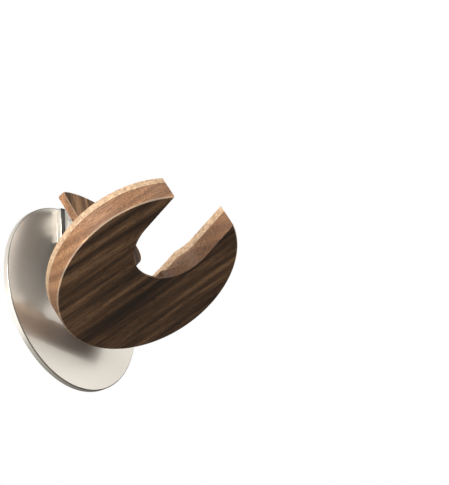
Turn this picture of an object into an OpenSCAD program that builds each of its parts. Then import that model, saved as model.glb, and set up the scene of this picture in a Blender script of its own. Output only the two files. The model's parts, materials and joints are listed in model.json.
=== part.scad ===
// Folding wall guitar hanger.
// A round steel wall plate carries a hinged strut, faced with a wooden tongue, and a round wooden
// cradle with a U-shaped neck slot. Shut, the tongue fills the slot and the hanger is a flat disc.
// Open, the strut leans on the wall hinge and holds the cradle out, with its mouth raised.
//
// X points right, Y into the wall and Z up. The origin is the centre of the plate's back face.
// Every sub-part is described in its shut position, and then turned to the open one.
// Sizes named _n are distances out from the front face of the wall plate.

/* [Wall plate] */
// Radius of the wall plate
plate_r = 53; // [53:0.5:56]
// Thickness of the wall plate
plate_t = 3.1; // [3:0.1:4]
// Break on the front edge of the plate
plate_edge = 0.4; // [0.2:0.1:0.8]
// Radius of the two wall screw holes
screw_hole_r = 2.3; // [2:0.1:2.6]
// Distance between the wall screw holes
screw_spacing = 34; // [30:1:36]
// Height of the middle of the wall screw holes
screw_mid_z = 4; // [2:1:5]

/* [Disc] */
// Radius of the wooden disc
disc_r = 54; // [53.4:0.1:54.2]
// Gap between the plate and the shut disc
shut_gap = 1.5; // [1.5:0.1:1.8]
// Thickness of the cork pads
cork_t = 4.5; // [4.3:0.1:4.7]
// Thickness of the walnut layer
walnut_t = 12.3; // [12:0.1:12.6]
// Break on the outer edge of the front face
face_edge = 0.6; // [0.3:0.1:1]
// Rounding of the outer back edge of the cork
cork_round = 0.8; // [0.4:0.1:1.6]

/* [Neck slot] */
// Radius of the slot's round end, which is half its width
slot_r = 24.6; // [24.4:0.1:25]
// Height of the centre of the round end
slot_z = 23.4; // [23:0.1:24]
// Gap beside the tongue
tongue_gap = 0.8; // [0.6:0.1:0.9]
// How far the tongue's round end stands above the slot's
tongue_lift = 0.6; // [0.4:0.1:0.8]
// Thickness of the tongue
tongue_t = 4.3; // [4:0.1:4.4]

/* [Folding] */
// Distance of the wall pivot from the plate
wall_pivot_n = 8.9; // [8.8:0.1:9.1]
// Height of the wall pivot
wall_pivot_z = 45.5; // [45:0.5:46]
// Distance of the fold pivot from the plate, shut
fold_pivot_n = 12.2; // [12:0.1:12.3]
// Height of the fold pivot, shut
fold_pivot_z = -13.7; // [-14.5:0.1:-13.6]
// Angle that the strut leans out by when open
strut_lean = 28.8; // [28:0.1:29]
// Angle that the cradle turns through from shut to open
cradle_turn = 60; // [58:0.5:60]

/* [Hinges] */
// Radius of both hinge pins
pin_r = 2; // [1.8:0.1:2.1]
// Running clearance of the pins in their bushes
pin_clear = 0.05; // [0.03:0.01:0.08]
// Outer radius of the bushes
bush_r = 3; // [2.8:0.1:3]
// Outer radius of the hinge eyes
eye_r = 4; // [3.9:0.1:4.1]
// Half width of the strut arm
arm_half_w = 5.6; // [5.4:0.1:5.8]
// Thickness of the strut arm's sheet
arm_t = 2; // [1.6:0.1:2.2]
// Thickness of each hinge ear
ear_t = 2; // [1.8:0.1:2.2]

/* [Hidden] */

$fn = 96;
eps = 0.05;
// Longer than any bore or cut that it is used for
reach = 20;

// Layers of the shut disc, as distances from the plate
cork_n = shut_gap;
walnut_n = cork_n + cork_t;
face_n = walnut_n + walnut_t;
tongue_n = face_n - tongue_t;

// Pocket for the strut in the back of the walnut, and the cork channel below it
pocket_top_half_w = 21.5;
channel_end_half_w = 17.8;
pocket_end_z = -22.5;
pocket_skin = 1.5;
pocket_n = face_n - pocket_skin;
ledge_d = 6;
ledge_n = walnut_n + ledge_d;
deep_half_w = 12.5;

// Heel block, which stands in the end of the cork channel
heel_half_w = 14;
heel_top_z = -27;
heel_recess = 2;
heel_inset = 1.8;
heel_n = cork_n + heel_recess;
heel_pad_t = 1.4;
heel_round = 1.4;

// Slanted cut on the lower back edge of the cork, which passes close to the plate
relief_z = -46.8;
relief_slope = 1.8;

// Hinge ears and bushes
bush_flange_t = 0.5;
bush_flange_r = 3.7;
ear_in = arm_half_w + bush_flange_t + 0.15;
ear_out = ear_in + ear_t;
bracket_base_t = 3;
bracket_half_w = 11.3;
bracket_low_z = 31;
bracket_inset = 0.8;
ear_foot_z = bracket_low_z + 5;
ear_foot_h = 15;
pin_head_r = 3.2;
pin_head_t = 1.2;
pin_tail = 1.8;
groove_x = ear_out + 0.1;
groove_r = 1.5;
groove_w = 0.9;
clip_t = groove_w - 0.15;
clip_mouth = 2.4;

// Web of the strut arm, and where its flanges step back behind the tongue
web_low_z = -3;
web_h = 42;
flange_step_z = fold_pivot_z + eye_r + 5;

// Feet of the fold brackets
foot_t = 1.5;
foot_h = 10;
foot_x = 18.6;

// Stop pad
stop_half_w = 6;
stop_top_z = fold_pivot_z - eye_r - 0.2;
stop_n = walnut_n + 0.4;

// Screws, with hexagon sockets
bracket_screw_r = 1.5;
bracket_screw_head_r = 2.9;
bracket_screw_head_t = 1.5;
bracket_socket_r = 0.9;
bracket_tap_n = bracket_base_t - 0.4;
bracket_screw_x = 5.4;
bracket_screw_zs = [34.6, 49];
tongue_screw_r = 1.3;
tongue_screw_head_r = 2.5;
tongue_screw_head_t = 1.2;
tongue_screw_tip_n = face_n - 1.2;
tongue_socket_r = 0.8;
tongue_screw_zs = [5, 14, 23, 32];
fold_screw_r = 1.2;
fold_screw_head_r = 2.2;
fold_screw_head_t = 1;
fold_screw_tip_n = ledge_n + 4.5;
fold_socket_r = 0.7;
fold_screw_x = 15.6;
fold_screw_dz = 3;
socket_d = 0.8;
wall_screw_head_r = 4.2;
wall_screw_head_t = 1.9;

// Magnets and bumpers in the back of the cork
magnet_r = 4;
magnet_t = 3;
magnet_x = 33;
magnet_z = -21;
bumper_r = 4;
bumper_t = shut_gap - 0.1;
bumper_spots = [[27, -36], [41, 8]];

// Open position of the fold pivot
pivot_dn = fold_pivot_n - wall_pivot_n;
pivot_dz = fold_pivot_z - wall_pivot_z;
open_pivot_n = wall_pivot_n + pivot_dn * cos(strut_lean) - pivot_dz * sin(strut_lean);
open_pivot_z = wall_pivot_z + pivot_dn * sin(strut_lean) + pivot_dz * cos(strut_lean);

WALNUT = [0.36, 0.23, 0.15];
MAPLE = [0.84, 0.70, 0.55];
CORK = [0.82, 0.66, 0.46];
LEATHER = [0.47, 0.29, 0.17];
STEEL = [0.72, 0.71, 0.69];
DARK_STEEL = [0.22, 0.22, 0.23];
BRASS = [0.75, 0.60, 0.30];

// ---- Helpers -------------------------------------------------------------------------------

// Draws an outline in X and Z, from n0 to n1 out from the plate
module slab(n0, n1)
    translate([0, -plate_t - n0, 0])
        rotate([90, 0, 0])
            linear_extrude(n1 - n0)
                children();

// Draws an outline in n and Z, from x0 to x1
module side(x0, x1)
    translate([x1, -plate_t, 0])
        rotate([0, 0, -90])
            rotate([90, 0, 0])
                linear_extrude(x1 - x0)
                    children();

// A round bar along the room direction, centred on x and z
module peg(x, z, r0, r1, n0, n1)
    translate([x, -plate_t - n0, z])
        rotate([90, 0, 0])
            cylinder(h = n1 - n0, r1 = r0, r2 = r1);

// A round bar along X, centred on n and z
module bar(n, z, r, x0, x1)
    translate([x0, -plate_t - n, z])
        rotate([0, 90, 0])
            cylinder(h = x1 - x0, r = r);

// A disc turned from a profile of radius and n
module turned(profile)
    translate([0, -plate_t, 0])
        rotate([90, 0, 0])
            rotate_extrude($fn = 180)
                polygon(profile);

module both_sides() {
    children();
    mirror([1, 0, 0]) children();
}

// Turns what is drawn shut with the strut to its open place
module strut_place()
    translate([0, -plate_t - wall_pivot_n, wall_pivot_z])
        rotate([-strut_lean, 0, 0])
            translate([0, plate_t + wall_pivot_n, -wall_pivot_z])
                children();

// Turns what is drawn shut with the cradle to its open place
module cradle_place()
    translate([0, -plate_t - open_pivot_n, open_pivot_z])
        rotate([cradle_turn, 0, 0])
            translate([0, plate_t + fold_pivot_n, -fold_pivot_z])
                children();

// ---- Outlines ------------------------------------------------------------------------------

// A U with a round lower end, running up past the rim
module u_outline(r, z)
    union() {
        translate([0, z]) circle(r = r);
        translate([-r, z]) square([2 * r, disc_r]);
    }

module slot_outline()
    u_outline(slot_r, slot_z);

module tongue_outline()
    intersection() {
        u_outline(slot_r - tongue_gap, slot_z + tongue_lift);
        circle(r = disc_r, $fn = 180);
    }

// The tapered opening behind the strut, from the slot down to z_low
module channel_outline(z_low) {
    half_low = channel_half_w(z_low);
    polygon([
        [-pocket_top_half_w, 0], [-half_low, z_low],
        [half_low, z_low], [pocket_top_half_w, 0],
        [pocket_top_half_w, slot_z], [-pocket_top_half_w, slot_z]
    ]);
}

function channel_half_w(z) =
    pocket_top_half_w + (pocket_top_half_w - channel_end_half_w) * z / disc_r;

// Profile of a hinge ear that stands on a foot
module bracket_ear_outline()
    hull() {
        translate([wall_pivot_n, wall_pivot_z]) circle(r = eye_r, $fn = 32);
        translate([0, ear_foot_z]) square([bracket_base_t, ear_foot_h]);
    }

// The round outline of the walnut from n0 out, with the broken edge of its face
module walnut_disc(n0)
    turned([
        [0, n0], [disc_r, n0], [disc_r, face_n - face_edge],
        [disc_r - face_edge, face_n], [0, face_n]
    ]);

// ---- Wall side -----------------------------------------------------------------------------

module wall_plate() {
    rim = [
        [0, -plate_t], [plate_r, -plate_t], [plate_r, -plate_edge],
        [plate_r - plate_edge, 0], [0, 0]
    ];
    color(STEEL)
        difference() {
            turned(rim);
            for (side_z = [-1, 1]) {
                z = screw_mid_z + side_z * screw_spacing / 2;
                peg(0, z, screw_hole_r, screw_hole_r, -plate_t - 1, 1);
                peg(0, z, screw_hole_r, wall_screw_head_r, -wall_screw_head_t, eps);
            }
            both_sides()
                for (z = bracket_screw_zs)
                    bracket_screw(z);
        }
}

module hinge_bracket()
    color(DARK_STEEL)
        difference() {
            union() {
                slab(0, bracket_base_t)
                    intersection() {
                        circle(r = plate_r - bracket_inset, $fn = 180);
                        translate([-bracket_half_w, bracket_low_z])
                            square([2 * bracket_half_w, plate_r]);
                    }
                both_sides()
                    side(ear_in, ear_out)
                        bracket_ear_outline();
            }
            bar(wall_pivot_n, wall_pivot_z, pin_r, -2 * ear_out, 2 * ear_out);
            both_sides()
                for (z = bracket_screw_zs)
                    peg(bracket_screw_x, z, bracket_screw_r, bracket_screw_r, -eps, bracket_tap_n);
        }

// A countersunk screw from the back of the plate into the hinge bracket
module bracket_screw(z) {
    neck_n = bracket_screw_head_t - plate_t;
    peg(bracket_screw_x, z, bracket_screw_head_r, bracket_screw_r, -plate_t, neck_n);
    peg(bracket_screw_x, z, bracket_screw_r, bracket_screw_r, -plate_t, bracket_tap_n - 0.1);
}

// A hexagon socket in a screw head, from n0
module socket(x, z, r, n0)
    peg(x, z, r, r, n0 - eps, n0 + socket_d, $fn = 6);

module bracket_screws()
    color(DARK_STEEL)
        both_sides()
            for (z = bracket_screw_zs)
                difference() {
                    bracket_screw(z);
                    socket(bracket_screw_x, z, bracket_socket_r, -plate_t);
                }

module wall_pin()
    color(STEEL)
        difference() {
            union() {
                bar(wall_pivot_n, wall_pivot_z, pin_r, -ear_out, ear_out + pin_tail);
                bar(wall_pivot_n, wall_pivot_z, pin_head_r, -ear_out - pin_head_t, -ear_out);
            }
            difference() {
                bar(wall_pivot_n, wall_pivot_z, pin_r + 1, groove_x, groove_x + groove_w);
                bar(wall_pivot_n, wall_pivot_z, groove_r, ear_out, ear_out + pin_tail);
            }
        }

module wall_pin_clip()
    color(STEEL)
        difference() {
            bar(wall_pivot_n, wall_pivot_z, pin_head_r, groove_x + eps, groove_x + eps + clip_t);
            bar(wall_pivot_n, wall_pivot_z, groove_r, ear_out, ear_out + pin_tail);
            side(ear_out, ear_out + pin_tail)
                translate([wall_pivot_n, wall_pivot_z - clip_mouth / 2])
                    square([pin_head_r + 1, clip_mouth]);
        }

// ---- Strut ---------------------------------------------------------------------------------

module arm_flange_outline()
    difference() {
        hull() {
            translate([wall_pivot_n, wall_pivot_z]) circle(r = eye_r, $fn = 32);
            translate([fold_pivot_n, fold_pivot_z]) circle(r = eye_r, $fn = 32);
        }
        translate([tongue_n, flange_step_z])
            square([reach, plate_r]);
    }

module strut_arm()
    color(DARK_STEEL)
        strut_place()
            difference() {
                union() {
                    both_sides()
                        side(arm_half_w - arm_t, arm_half_w)
                            arm_flange_outline();
                    slab(tongue_n - arm_t, tongue_n)
                        translate([-arm_half_w, web_low_z])
                            square([2 * arm_half_w, web_h]);
                }
                bar(wall_pivot_n, wall_pivot_z, bush_r, -reach, reach);
                bar(fold_pivot_n, fold_pivot_z, bush_r, -reach, reach);
                for (z = tongue_screw_zs)
                    tongue_screw(z);
            }

module tongue()
    color(WALNUT)
        strut_place()
            difference() {
                intersection() {
                    slab(tongue_n, face_n)
                        tongue_outline();
                    walnut_disc(tongue_n);
                }
                for (z = tongue_screw_zs)
                    tongue_screw(z);
            }

// A countersunk screw from the arm into the tongue
module tongue_screw(z) {
    head_n = tongue_n - arm_t;
    peg(0, z, tongue_screw_head_r, tongue_screw_r, head_n, head_n + tongue_screw_head_t);
    peg(0, z, tongue_screw_r, tongue_screw_r, head_n, tongue_screw_tip_n);
}

module tongue_screws()
    color(BRASS)
        strut_place()
            for (z = tongue_screw_zs)
                difference() {
                    tongue_screw(z);
                    socket(0, z, tongue_socket_r, tongue_n - arm_t);
                }

// A flanged bush in each arm eye
module bush_pair(n, z)
    both_sides()
        difference() {
            union() {
                bar(n, z, bush_r, arm_half_w - arm_t, arm_half_w);
                bar(n, z, bush_flange_r, arm_half_w, arm_half_w + bush_flange_t);
            }
            bar(n, z, pin_r + pin_clear, 0, reach);
        }

module wall_bushes()
    color(BRASS)
        strut_place()
            bush_pair(wall_pivot_n, wall_pivot_z);

module fold_bushes()
    color(BRASS)
        strut_place()
            bush_pair(fold_pivot_n, fold_pivot_z);

// ---- Cradle --------------------------------------------------------------------------------

module cradle_face()
    color(WALNUT)
        cradle_place()
            difference() {
                walnut_disc(walnut_n);
                slab(0, face_n + reach) slot_outline();
                slab(0, ledge_n) channel_outline(pocket_end_z);
                slab(0, pocket_n)
                    translate([-deep_half_w, pocket_end_z])
                        square([2 * deep_half_w, slot_z - pocket_end_z]);
                both_sides()
                    for (dz = [-fold_screw_dz, fold_screw_dz])
                        fold_screw(dz);
            }

module relief_outline()
    polygon([
        [cork_n - 1, relief_z + relief_slope], [walnut_n, relief_z - relief_slope * cork_t],
        [walnut_n, -2 * disc_r], [cork_n - 1, -2 * disc_r]
    ]);

// The cork ring, before the slot and the channel split it in two
module cork_disc() {
    arc = [for (a = [0:9:90]) [
        disc_r - cork_round + cork_round * sin(a),
        cork_n + cork_round - cork_round * cos(a)
    ]];
    turned(concat([[0, cork_n]], arc, [[disc_r, walnut_n], [0, walnut_n]]));
}

module cork_pad(hand)
    color(CORK)
        cradle_place()
            difference() {
                intersection() {
                    cork_disc();
                    slab(0, face_n)
                        translate([hand > 0 ? 0 : -2 * disc_r, -disc_r])
                            square(2 * disc_r);
                }
                slab(0, face_n) slot_outline();
                slab(0, face_n) channel_outline(-disc_r - 1);
                side(-disc_r, disc_r) relief_outline();
                peg(hand * magnet_x, magnet_z, magnet_r, magnet_r, 0, cork_n + magnet_t);
            }

module cork_pad_left() cork_pad(-1);

module cork_pad_right() cork_pad(1);

module heel_outline(inset)
    intersection() {
        circle(r = disc_r - inset, $fn = 180);
        translate([-heel_half_w, -disc_r - 1])
            square([2 * heel_half_w, disc_r + 1 + heel_top_z]);
    }

module heel_block()
    color(MAPLE)
        cradle_place()
            slab(heel_n + heel_pad_t, walnut_n)
                heel_outline(heel_inset);

// The leather pad is rolled over the lower edge, where the heel passes close to the plate
module heel_pad()
    color(LEATHER)
        cradle_place()
            intersection() {
                slab(heel_n, heel_n + heel_pad_t)
                    heel_outline(heel_inset);
                turned([
                    [0, heel_n], [disc_r - heel_inset - heel_round, heel_n],
                    [disc_r - heel_inset - heel_round * 0.3, heel_n + heel_round * 0.3],
                    [disc_r - heel_inset, heel_n + heel_round], [0, heel_n + heel_round]
                ]);
            }

// A countersunk screw from the bracket foot into the pocket's ledge
module fold_screw(dz) {
    z = fold_pivot_z + dz;
    head_n = ledge_n - foot_t;
    peg(fold_screw_x, z, fold_screw_head_r, fold_screw_r, head_n, head_n + fold_screw_head_t);
    peg(fold_screw_x, z, fold_screw_r, fold_screw_r, head_n, fold_screw_tip_n);
}

// An ear for the fold pin, with a foot that lies on the pocket's ledge
module fold_bracket()
    difference() {
        union() {
            side(ear_in, ear_in + arm_t)
                union() {
                    translate([fold_pivot_n, fold_pivot_z]) circle(r = eye_r);
                    translate([ledge_n - foot_t, fold_pivot_z - foot_h / 2]) square([foot_t, foot_h]);
                }
            slab(ledge_n - foot_t, ledge_n)
                translate([ear_in, fold_pivot_z - foot_h / 2])
                    square([foot_x - ear_in, foot_h]);
        }
        bar(fold_pivot_n, fold_pivot_z, pin_r, -reach, reach);
        for (dz = [-fold_screw_dz, fold_screw_dz])
            fold_screw(dz);
    }

module fold_bracket_left()
    color(STEEL)
        cradle_place()
            mirror([1, 0, 0])
                fold_bracket();

module fold_bracket_right()
    color(STEEL)
        cradle_place()
            fold_bracket();

module fold_bracket_screws()
    color(BRASS)
        cradle_place()
            both_sides()
                for (dz = [-fold_screw_dz, fold_screw_dz])
                    difference() {
                        fold_screw(dz);
                        socket(fold_screw_x, fold_pivot_z + dz, fold_socket_r, ledge_n - foot_t);
                    }

module fold_pin()
    color(DARK_STEEL)
        cradle_place()
            bar(fold_pivot_n, fold_pivot_z, pin_r, -ear_in - arm_t, ear_in + arm_t);

// The rubber pad that the arm meets when the cradle is open
module stop_pad()
    color([0.1, 0.1, 0.1])
        cradle_place()
            slab(stop_n, ledge_n)
                translate([-stop_half_w, pocket_end_z])
                    square([2 * stop_half_w, stop_top_z - pocket_end_z]);

module magnets()
    color(STEEL)
        cradle_place()
            both_sides()
                peg(magnet_x, magnet_z, magnet_r, magnet_r, cork_n + 0.1, cork_n + magnet_t);

module bumpers()
    color([0.85, 0.85, 0.83])
        cradle_place()
            both_sides()
                for (spot = bumper_spots)
                    peg(spot[0], spot[1], bumper_r - 0.6, bumper_r, cork_n - bumper_t, cork_n);

// ---- What is drawn -------------------------------------------------------------------------

wall_plate();
hinge_bracket();
bracket_screws();
wall_pin();
wall_pin_clip();
strut_arm();
tongue();
tongue_screws();
wall_bushes();
fold_bushes();
cradle_face();
cork_pad_left();
cork_pad_right();
heel_block();
heel_pad();
fold_bracket_left();
fold_bracket_right();
fold_bracket_screws();
fold_pin();
stop_pad();
magnets();
bumpers();
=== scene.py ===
import json
import math

import bmesh
import bpy
from mathutils import Matrix, Vector


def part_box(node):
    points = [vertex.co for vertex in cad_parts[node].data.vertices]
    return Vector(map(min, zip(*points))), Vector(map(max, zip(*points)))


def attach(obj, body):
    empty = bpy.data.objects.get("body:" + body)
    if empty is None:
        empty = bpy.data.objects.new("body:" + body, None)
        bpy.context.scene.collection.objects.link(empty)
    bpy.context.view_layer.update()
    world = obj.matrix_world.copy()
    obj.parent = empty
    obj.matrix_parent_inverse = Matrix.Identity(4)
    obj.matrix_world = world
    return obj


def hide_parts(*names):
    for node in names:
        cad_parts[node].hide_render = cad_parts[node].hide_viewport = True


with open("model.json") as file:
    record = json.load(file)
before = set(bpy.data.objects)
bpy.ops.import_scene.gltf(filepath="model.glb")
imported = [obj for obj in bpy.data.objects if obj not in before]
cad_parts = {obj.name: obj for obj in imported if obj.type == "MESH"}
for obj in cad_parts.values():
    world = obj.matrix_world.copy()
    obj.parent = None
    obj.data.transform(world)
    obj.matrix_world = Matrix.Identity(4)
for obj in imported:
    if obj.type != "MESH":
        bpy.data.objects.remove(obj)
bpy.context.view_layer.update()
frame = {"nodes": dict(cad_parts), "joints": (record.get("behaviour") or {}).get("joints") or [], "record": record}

MM = 0.001

# ---- Places --------------------------------------------------------------------------------
# Pieces are shaped and textured in the shut position, where the disc lies flat against the
# plate with its faces square to Y, and are then put in the open place that the frame gives.

joints = {joint["name"]: joint for joint in frame["joints"]}
body_of = {
    node: body
    for body, nodes in frame["record"]["behaviour"]["bodies"].items()
    for node in nodes
}
slot_of = {part["node"]: part["material_slot"] for part in frame["record"]["subparts"]}


def shut_turn(name):
    """The turn that a joint makes from the open place to the shut one."""
    joint = joints[name]
    pivot = Vector(joint["pos_m"])
    turn = Matrix.Rotation(math.radians(joint["range_deg"][1]), 4, Vector(joint["axis"]))
    return Matrix.Translation(pivot) @ turn @ Matrix.Translation(-pivot)


strut_shut = shut_turn("strut_swing")
PLACES = {
    "wall_side": Matrix.Identity(4),
    "strut": strut_shut.inverted(),
    "cradle": (strut_shut @ shut_turn("cradle_fold")).inverted(),
}


# ---- Material kit --------------------------------------------------------------------------


class Finish:
    """A node material around one Principled shader, with the piece's own coordinates."""

    def __init__(self, name, metallic=0.0, roughness=0.5, **sockets):
        self.material = bpy.data.materials.new(name)
        self.material.use_nodes = True
        self.tree = self.material.node_tree
        self.shader = self.tree.nodes["Principled BSDF"]
        self.shader.inputs["Metallic"].default_value = metallic
        self.shader.inputs["Roughness"].default_value = roughness
        for socket, value in sockets.items():
            self.shader.inputs[socket.replace("_", " ")].default_value = value
        self.place = self.add("ShaderNodeTexCoord").outputs["Object"]

    def add(self, kind, inputs=(), **settings):
        node = self.tree.nodes.new(kind)
        for key, value in settings.items():
            setattr(node, key, value)
        for key, value in dict(inputs).items():
            if isinstance(value, bpy.types.NodeSocket):
                self.tree.links.new(value, node.inputs[key])
            else:
                node.inputs[key].default_value = value
        return node

    def turned(self, angles):
        """The coordinates after a turn about the piece's origin."""
        node = self.add("ShaderNodeMapping", {"Vector": self.place, "Rotation": angles})
        return node.outputs["Vector"]

    def per_mm(self, vector, sizes):
        """Coordinates that grow by one over each of the given sizes, in millimetres."""
        scale = [1 / (size * MM) for size in sizes]
        return self.add("ShaderNodeMapping", {"Vector": vector, "Scale": scale}).outputs["Vector"]

    def attribute(self, name):
        """A face attribute of the piece, from 0 to 1."""
        return self.add("ShaderNodeAttribute", attribute_name=name).outputs["Fac"]

    def noise(self, vector, detail=2.0, rough=0.5):
        inputs = {"Vector": vector, "Scale": 1.0, "Detail": detail, "Roughness": rough}
        return self.add("ShaderNodeTexNoise", inputs)

    def cells(self, vector, feature="F1"):
        return self.add("ShaderNodeTexVoronoi", {"Vector": vector, "Scale": 1.0}, feature=feature)

    def channel(self, colour, index):
        return self.add("ShaderNodeSeparateColor", {0: colour}).outputs[index]

    def ramp(self, factor, stops):
        """A straight colour ramp. Each stop is a place and a grey level or a colour."""
        node = self.add("ShaderNodeValToRGB", {"Fac": factor})
        ramp = node.color_ramp
        while len(ramp.elements) < len(stops):
            ramp.elements.new(0.5)
        for element, (place, value) in zip(ramp.elements, stops):
            element.position = place
            element.color = (*value, 1) if isinstance(value, tuple) else (value, value, value, 1)
        return node.outputs["Color"]

    def vector(self, operation, *values):
        node = self.add("ShaderNodeVectorMath", dict(enumerate(values)), operation=operation)
        return node.outputs[0]

    def sums(self, operation, *values):
        node = self.add("ShaderNodeMath", dict(enumerate(values)), operation=operation)
        return node.outputs["Value"]

    def mix(self, factor, first, second, blend="MIX"):
        node = self.add("ShaderNodeMix", data_type="RGBA", blend_type=blend)
        colours = [node.inputs[6], node.inputs[7]]
        for socket, value in zip([node.inputs[0], *colours], [factor, first, second]):
            if isinstance(value, bpy.types.NodeSocket):
                self.tree.links.new(value, socket)
            else:
                socket.default_value = (*value, 1) if isinstance(value, tuple) else value
        return node.outputs[2]

    def set(self, socket, value):
        self.tree.links.new(value, self.shader.inputs[socket])

    def bump(self, height, depth, strength=1.0):
        """Bump from a height of 0 to 1 that stands for a depth in millimetres."""
        inputs = {"Height": height, "Distance": depth * MM, "Strength": strength}
        self.set("Normal", self.add("ShaderNodeBump", inputs).outputs["Normal"])


# ---- Materials -----------------------------------------------------------------------------
# Pieces carry two face attributes. "rim" is 1 on sides square to the disc's faces, and "edge"
# is 1 on broken edges and chamfers.

# The bracket's coat starts 0.1 mm inside the front of its foot, which is 3 mm thick
COAT_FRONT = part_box("wall_plate")[0].y - 2.9 * MM
EAR_OUTSIDE = 8.25 * MM

WALNUT_TONES = [
    (0.41, (0.030, 0.0145, 0.0065)),
    (0.475, (0.082, 0.041, 0.018)),
    (0.53, (0.155, 0.080, 0.037)),
    (0.60, (0.290, 0.160, 0.078)),
]
WALNUT_RIM = (0.165, 0.083, 0.044)


def walnut(name, grain_turn, pith):
    """Oiled walnut, solid all through: ring streaks around a pith line, fibres and open pores.

    The grain runs along Z, turned about Y. pith is the pith line's X and Y, in millimetres.
    Streaks are weaker on the rim. Broken edges and slanted faces are painted pale: a painted highlight along the
    chamfers that also stands for sanding wear.
    """
    finish = Finish(name, Specular_IOR_Level=0.22, Coat_Weight=0.05, Coat_Roughness=0.3)
    wood = finish.turned((0, grain_turn, 0))
    sway = finish.noise(finish.per_mm(wood, (26, 26, 90)), detail=2)
    centred = finish.vector("SUBTRACT", sway.outputs["Color"], (0.5, 0.5, 0.5))
    swayed = finish.vector("MULTIPLY_ADD", centred, (5 * MM, 5 * MM, 0), wood)
    split = finish.add("ShaderNodeSeparateXYZ", {0: swayed})
    across = finish.sums("SUBTRACT", split.outputs[0], pith[0] * MM)
    deep = finish.sums("SUBTRACT", split.outputs[1], pith[1] * MM)
    squared = finish.sums("ADD", finish.sums("POWER", across, 2.0), finish.sums("POWER", deep, 2.0))
    rings = finish.add("ShaderNodeCombineXYZ", {0: finish.sums("SQRT", squared), 2: split.outputs[2]})
    streaks = finish.noise(finish.per_mm(rings.outputs[0], (5.5, 1, 150)), detail=4, rough=0.62)
    bands = finish.noise(finish.per_mm(rings.outputs[0], (19, 1, 300)), detail=1)
    fibre = finish.noise(finish.per_mm(swayed, (0.55, 0.55, 13)), detail=3, rough=0.6).outputs["Fac"]
    pores = finish.noise(finish.per_mm(swayed, (0.42, 0.42, 3.4)), detail=1).outputs["Fac"]
    tone = finish.sums("MULTIPLY", bands.outputs["Fac"], 0.28)
    tone = finish.sums("MULTIPLY_ADD", streaks.outputs["Fac"], 0.72, tone)
    colour = finish.ramp(tone, WALNUT_TONES)
    rim = finish.attribute("rim")
    colour = finish.mix(finish.sums("MULTIPLY", rim, 0.6), colour, WALNUT_RIM)
    colour = finish.mix(1.0, colour, finish.ramp(fibre, [(0.3, 0.56), (0.7, 1.42)]), blend="MULTIPLY")
    pore = finish.ramp(pores, [(0.58, 0.0), (0.66, 1.0)])
    colour = finish.mix(finish.sums("MULTIPLY", pore, 0.62), colour, (0.022, 0.011, 0.006))
    # Painted highlight: broken edges and slanted faces are lightened towards a pale tan, partly standing for
    # sanding wear
    edge = finish.attribute("edge")
    brighter = finish.mix(1.0, colour, (1.5, 1.5, 1.5), blend="MULTIPLY")
    pale_edge = finish.mix(0.4, brighter, (0.50, 0.42, 0.33))
    finish.set("Base Color", finish.mix(edge, colour, pale_edge))
    sheen = finish.sums("MULTIPLY_ADD", fibre, 0.5, pore)
    finish.set("Roughness", finish.ramp(sheen, [(0.1, 0.40), (1.0, 0.66)]))
    pits = finish.sums("MULTIPLY", pore, -1.0)
    finish.bump(finish.sums("MULTIPLY_ADD", fibre, 0.25, pits), 0.05, 0.6)
    return finish.material


def cork(name):
    """Pressed cork: rounded granules of mixed tans, with fine dark specks between them."""
    finish = Finish(name, roughness=0.85)
    granules = finish.cells(finish.per_mm(finish.place, (1.3, 1.3, 1.3)))
    small = finish.cells(finish.per_mm(finish.place, (0.6, 0.6, 0.6)))
    shade = finish.channel(granules.outputs["Color"], 0)
    colour = finish.ramp(shade, [(0.0, (0.215, 0.135, 0.080)), (1.0, (0.34, 0.245, 0.155))])
    picked = finish.sums("GREATER_THAN", finish.channel(small.outputs["Color"], 1), 0.86)
    spot = finish.ramp(small.outputs["Distance"], [(0.15, 1.0), (0.42, 0.0)])
    speck = finish.sums("MULTIPLY", spot, picked)
    colour = finish.mix(speck, colour, (0.12, 0.055, 0.025))
    finish.set("Base Color", colour)
    pits = finish.sums("MULTIPLY", speck, -0.8)
    finish.bump(finish.sums("MULTIPLY_ADD", granules.outputs["Distance"], -0.7, pits), 0.25, 0.5)
    return finish.material


def brushed(name, colour, roughness, along=(23, 23, 0.17), depth=0, edge_tone=1.0, metallic=1.0):
    """Brushed metal, with lines that are long in the directions where along is large.

    along and depth are in millimetres. With no depth the surface is even, and only its colour
    has lines. edge_tone is the tone of the broken edges. A metallic below 1 is for tone only.
    """
    finish = Finish(name, metallic=metallic, roughness=roughness)
    lines = finish.noise(finish.per_mm(finish.place, along), detail=3, rough=0.7).outputs["Fac"]
    low = tuple(channel * 0.93 for channel in colour)
    edge_colour = tuple(min(1.0, channel * edge_tone) for channel in colour)
    edge = finish.attribute("edge")
    tone = finish.mix(finish.ramp(lines, [(0.3, 0.0), (0.7, 1.0)]), low, colour)
    finish.set("Base Color", finish.mix(edge, tone, edge_colour))
    if depth:
        broad = [size * 9 for size in along]
        smears = finish.noise(finish.per_mm(finish.place, broad), detail=2).outputs["Fac"]
        levels = [(0.25, roughness * 0.85), (0.75, roughness * 1.2)]
        finish.set("Roughness", finish.ramp(smears, levels))
        finish.bump(lines, depth)
    return finish.material


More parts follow.
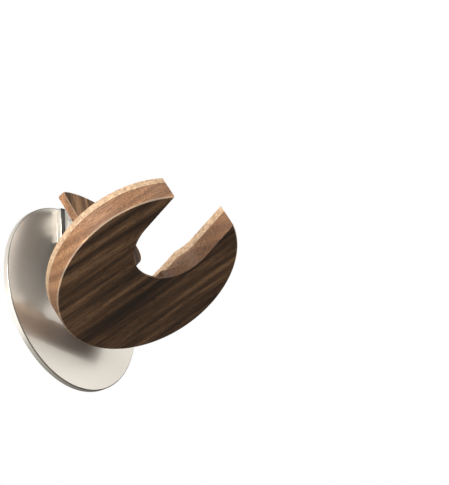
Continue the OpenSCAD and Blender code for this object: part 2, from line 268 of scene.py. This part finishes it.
def part_coated(name, steel, coat):
    """Satin steel, coated dark from its foot's front outwards apart from the ears' outer sides."""
    finish = Finish(name, metallic=1.0, roughness=0.34)
    lines = finish.noise(finish.per_mm(finish.place, (0.12, 12, 12)), detail=3, rough=0.7).outputs["Fac"]
    split = finish.add("ShaderNodeSeparateXYZ", {0: finish.place})
    sideways = finish.sums("ABSOLUTE", split.outputs[0])
    off_side = finish.sums("ABSOLUTE", finish.sums("SUBTRACT", sideways, EAR_OUTSIDE))
    on_side = finish.sums("LESS_THAN", off_side, 0.15 * MM)
    depth = split.outputs[1]
    in_front = finish.sums("LESS_THAN", depth, COAT_FRONT)
    past_foot = finish.sums("LESS_THAN", depth, COAT_FRONT - 0.4 * MM)
    bare_ear = finish.sums("MULTIPLY", on_side, past_foot)
    coated_part = finish.sums("SUBTRACT", in_front, bare_ear)
    low = tuple(channel * 0.86 for channel in steel)
    bare = finish.mix(lines, low, steel)
    finish.set("Base Color", finish.mix(coated_part, bare, coat))
    finish.set("Metallic", finish.sums("SUBTRACT", 1.0, coated_part))
    finish.set("Roughness", finish.sums("MULTIPLY_ADD", coated_part, 0.14, 0.34))
    finish.bump(lines, 0.006)
    return finish.material


def coated(name, colour, roughness):
    """Fine textured powder coat, rubbed paler along the edges."""
    finish = Finish(name, roughness=roughness)
    peel = finish.noise(finish.per_mm(finish.place, (0.35, 0.35, 0.35)), detail=3).outputs["Fac"]
    low = tuple(channel * 0.7 for channel in colour)
    pale_edge = tuple(min(1.0, channel * 2.2 + 0.01) for channel in colour)
    edge = finish.attribute("edge")
    finish.set("Base Color", finish.mix(edge, finish.mix(peel, low, colour), pale_edge))
    levels = [(0.3, roughness * 0.85), (0.7, min(1.0, roughness * 1.2))]
    finish.set("Roughness", finish.ramp(peel, levels))
    finish.bump(peel, 0.03)
    return finish.material


def leather(name):
    """Vegetable-tanned leather with a pebbled grain and paler raised spots."""
    finish = Finish(name, roughness=0.6)
    grain = finish.per_mm(finish.place, (0.8, 0.8, 0.8))
    pebbles = finish.cells(grain, feature="DISTANCE_TO_EDGE").outputs["Distance"]
    cloud = finish.noise(finish.per_mm(finish.place, (7, 7, 7)), detail=3).outputs["Fac"]
    colour = finish.ramp(cloud, [(0.3, (0.19, 0.085, 0.04)), (0.7, (0.33, 0.16, 0.08))])
    crease = finish.ramp(pebbles, [(0.0, 0.45), (0.14, 1.0)])
    finish.set("Base Color", finish.mix(1.0, colour, crease, blend="MULTIPLY"))
    finish.bump(finish.ramp(pebbles, [(0.0, 0.0), (0.2, 1.0)]), 0.12, 0.7)
    return finish.material


def pale_wood(name):
    """Close-grained pale hardwood with faint fibres."""
    finish = Finish(name, roughness=0.5)
    fibre = finish.noise(finish.per_mm(finish.place, (12, 0.5, 0.5)), detail=4, rough=0.6).outputs["Fac"]
    finish.set("Base Color", finish.ramp(fibre, [(0.3, (0.47, 0.30, 0.18)), (0.7, (0.68, 0.48, 0.33))]))
    finish.bump(fibre, 0.03)
    return finish.material


GRAIN_TURN = math.radians(-21)
MATERIALS = {
    # The plate's broken edges are darkened to 0.28 of its colour: a painted shade line between its side and its
    # face
    "plate_steel": brushed("plate_steel", (0.76, 0.72, 0.655), 0.285, edge_tone=0.28, metallic=0.74),
    "bracket_steel": brushed("bracket_steel", (0.60, 0.585, 0.56), 0.34, along=(0.12, 0.12, 12)),
    "dark_steel": coated("dark_steel", (0.035, 0.034, 0.034), 0.45),
    "cork": cork("cork"),
    "heel_wood": pale_wood("heel_wood"),
    "leather": leather("leather"),
    "screw_brass": brushed("screw_brass", (0.72, 0.52, 0.25), 0.3, along=(0.1, 0.1, 0.1)),
    "bush_brass": brushed("bush_brass", (0.75, 0.55, 0.27), 0.28, along=(8, 0.1, 0.1)),
    "magnet_nickel": brushed(
        "magnet_nickel", (0.72, 0.70, 0.66), 0.16, along=(0.3, 0.3, 0.3), depth=0.002
    ),
    "rubber": coated("rubber", (0.022, 0.022, 0.022), 0.75),
    "bumper_rubber": coated("bumper_rubber", (0.55, 0.54, 0.52), 0.4),
}
OWN_MATERIALS = {
    "cradle_face": walnut("walnut_face", GRAIN_TURN, (-150, 95)),
    "tongue": walnut("walnut_tongue", GRAIN_TURN, (-150, 95)),
    "hinge_bracket": part_coated("hinge_steel", (0.62, 0.60, 0.56), (0.03, 0.029, 0.028)),
}


# ---- Pieces --------------------------------------------------------------------------------

# Faces that meet below FLAT count as one plane, and an edge above HARD is broken
FLAT, HARD = math.radians(0.5), math.radians(28)
WELD = 0.02 * MM

# The tongue's two corner edges lie within 1.2 mm of its sides and 12 mm of its top
TONGUE_CORNER = 2.4 * MM
TONGUE_SIDE = 1.2 * MM
TONGUE_TOP = 12 * MM

# How much of a face's normal points along Y, in the shut position
SQUARE_ON, SLANTED, UPRIGHT = 0.995, 0.95, 0.3


def edge_angle(edge):
    """The angle between an edge's two faces, or 0 where there aren't two."""
    return edge.calc_face_angle(0)


def round_tongue(shape):
    """Rounds the two top corners of the tongue, seen from the front."""
    high_z = max(vert.co.z for vert in shape.verts)
    half_w = max(vert.co.x for vert in shape.verts)
    corners = []
    for edge in shape.edges:
        first, second = (vert.co for vert in edge.verts)
        outer = min(abs(first.x), abs(second.x)) > half_w - TONGUE_SIDE
        upper = min(first.z, second.z) > high_z - TONGUE_TOP
        through = abs(first.y - second.y) > 0.4 * (first - second).length
        if outer and upper and through:
            corners.append(edge)
    bmesh.ops.bevel(
        shape, geom=corners, offset=TONGUE_CORNER, offset_type="OFFSET", affect="EDGES",
        segments=6, profile=0.5, clamp_overlap=False,
    )


def finished(node, bevel, material, reshape=None):
    """Puts a piece in a CAD node's place, with the node's shape and its hard edges broken.

    bevel is in millimetres.
    """
    body = body_of[node]
    place = PLACES[body]
    mesh = frame["nodes"][node].data.copy()
    mesh.transform(place.inverted())
    shape = bmesh.new()
    shape.from_mesh(mesh)
    shape.faces.layers.float.new("edge")
    shape.faces.layers.float.new("rim")
    edge_layer, rim = (shape.faces.layers.float[layer] for layer in ("edge", "rim"))
    bmesh.ops.remove_doubles(shape, verts=shape.verts, dist=WELD)
    bmesh.ops.dissolve_limit(shape, angle_limit=FLAT, verts=shape.verts, edges=shape.edges)
    if reshape:
        reshape(shape)
    for face in shape.faces:
        face.smooth = any(FLAT < edge_angle(edge) <= HARD for edge in face.edges)
    hard = [edge for edge in shape.edges if edge_angle(edge) > HARD]
    broken = bmesh.ops.bevel(
        shape, geom=hard, offset=bevel * MM, offset_type="OFFSET", affect="EDGES",
        segments=2, profile=0.5, clamp_overlap=True,
    )
    strips = set(broken["faces"])
    for face in shape.faces:
        facing = abs(face.normal.y)
        # Faces marked here take painted edge tones: a painted highlight on walnut, a painted shade line on the
        # plate, and rubbed wear on coatings
        edge_face = facing <= SQUARE_ON and (face in strips or UPRIGHT < facing < SLANTED)
        face[rim] = float(facing < UPRIGHT)
        face[edge_layer] = float(edge_face)
    for edge in shape.edges:
        inside = [face in strips for face in edge.link_faces]
        edge.smooth = edge_angle(edge) <= HARD * 1.5 and (all(inside) or not any(inside))
    for face in strips:
        face.smooth = abs(face.normal.y) < SQUARE_ON
    shape.to_mesh(mesh)
    shape.free()
    mesh.materials.clear()
    mesh.materials.append(material)
    piece = bpy.data.objects.new("fine_" + node, mesh)
    bpy.context.scene.collection.objects.link(piece)
    piece.matrix_world = place
    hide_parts(node)
    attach(piece, body)


BEVELS = {
    "wall_plate": 0.12, "hinge_bracket": 0.25, "bracket_screws": 0.08, "wall_pin": 0.2,
    "wall_pin_clip": 0.08, "strut_arm": 0.25, "tongue": 0.25, "tongue_screws": 0.08,
    "wall_bushes": 0.08, "fold_bushes": 0.08, "cradle_face": 0.18, "cork_pad_left": 0.2,
    "cork_pad_right": 0.2, "heel_block": 0.2, "heel_pad": 0.3, "fold_bracket_left": 0.15,
    "fold_bracket_right": 0.15, "fold_bracket_screws": 0.08, "fold_pin": 0.2, "stop_pad": 0.4,
    "magnets": 0.15, "bumpers": 0.5,
}
RESHAPES = {"tongue": round_tongue}
for node, bevel in BEVELS.items():
    material = OWN_MATERIALS.get(node) or MATERIALS[slot_of[node]]
    finished(node, bevel, material, reshape=RESHAPES.get(node))


# ---- Camera, light and floor ---------------------------------------------------------------

# The camera looks from below left. FRAME_HEIGHT is the height of what it sees at the plate, and
# FRAME_RIGHT and FRAME_UP lead from the middle of the plate's front to the middle of the picture.
CAMERA_AZIMUTH = math.radians(-50.72)
CAMERA_ELEVATION = math.radians(-25.61)
CAMERA_ROLL = math.radians(2.38)
CAMERA_DISTANCE = 3.0
FRAME_HEIGHT = 0.26825
FRAME_RIGHT, FRAME_UP = 0.08524, 0.02762
FLOOR_Z = -1.75


def towards(azimuth, elevation):
    """The direction from the hanger to something seen at that azimuth and elevation."""
    level = math.cos(elevation)
    return Vector((math.sin(azimuth) * level, -math.cos(azimuth) * level, math.sin(elevation)))


def add_camera():
    back = towards(CAMERA_AZIMUTH, CAMERA_ELEVATION)
    right = Vector((0, 0, 1)).cross(back).normalized()
    up = back.cross(right)
    plate_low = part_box("wall_plate")[0]
    target = Vector((0, plate_low.y, 0)) + right * FRAME_RIGHT + up * FRAME_UP
    cos, sin = math.cos(CAMERA_ROLL), math.sin(CAMERA_ROLL)
    across = right * cos - up * sin
    upright = up * cos + right * sin
    data = bpy.data.cameras.new("camera")
    data.lens = data.sensor_width * CAMERA_DISTANCE / FRAME_HEIGHT
    data.clip_start, data.clip_end = 0.1, 50
    camera = bpy.data.objects.new("camera", data)
    bpy.context.scene.collection.objects.link(camera)
    turn = Matrix((across, upright, back)).transposed().to_4x4()
    camera.matrix_world = Matrix.Translation(target + back * CAMERA_DISTANCE) @ turn
    bpy.context.scene.camera = camera


def add_softbox(name, azimuth, elevation, distance, size, radiance, colour=(1, 1, 1), spread=180):
    """A rectangular light of even brightness that faces the hanger, hidden from the camera.

    Azimuth, elevation and spread are in degrees.
    """
    direction = towards(math.radians(azimuth), math.radians(elevation))
    data = bpy.data.lights.new(name, "AREA")
    data.shape = "RECTANGLE"
    data.size, data.size_y = size
    data.energy = radiance * math.pi * size[0] * size[1]
    data.color = colour
    light = bpy.data.objects.new(name, data)
    light.location = direction * distance
    light.rotation_euler = direction.to_track_quat("Z", "Y").to_euler()
    light.visible_camera = False
    data.spread = math.radians(spread)
    bpy.context.scene.collection.objects.link(light)


def add_world():
    """White to the camera, and a weak warm white as light."""
    world = bpy.data.worlds.new("studio")
    world.use_nodes = True
    tree = world.node_tree
    fill = tree.nodes["Background"]
    fill.inputs["Color"].default_value = (1.0, 0.96, 0.91, 1)
    fill.inputs["Strength"].default_value = 0.22
    seen = tree.nodes.new("ShaderNodeBackground")
    seen.inputs["Color"].default_value = (1, 1, 1, 1)
    seen.inputs["Strength"].default_value = 1.0
    path = tree.nodes.new("ShaderNodeLightPath")
    mix = tree.nodes.new("ShaderNodeMixShader")
    tree.links.new(path.outputs["Is Camera Ray"], mix.inputs[0])
    tree.links.new(fill.outputs[0], mix.inputs[1])
    tree.links.new(seen.outputs[0], mix.inputs[2])
    tree.links.new(mix.outputs[0], tree.nodes["World Output"].inputs["Surface"])
    bpy.context.scene.world = world


def add_floor():
    bpy.ops.mesh.primitive_plane_add(size=30, location=(0, 0, FLOOR_Z))
    floor = bpy.context.object
    floor.name = "floor"
    finish = Finish("floor", roughness=0.9, Base_Color=(0.86, 0.85, 0.83, 1))
    floor.data.materials.append(finish.material)


add_camera()
add_world()
add_floor()
add_softbox("key", -84, 14, 1.6, (1.0, 1.0), 4.6, (1.0, 0.97, 0.93), spread=70)
add_softbox("top", -10, 55, 1.8, (1.2, 1.2), 0.75, spread=90)
add_softbox("wall", -116, -20, 1.6, (1.4, 1.6), 0.5, spread=120)
add_softbox("right", 51, 26, 1.2, (1.0, 1.2), 0.45)
add_softbox("front", 27, 18, 1.6, (1.0, 1.0), 1.9, (1.0, 0.98, 0.95))
bpy.context.scene.view_settings.view_transform = "Standard"
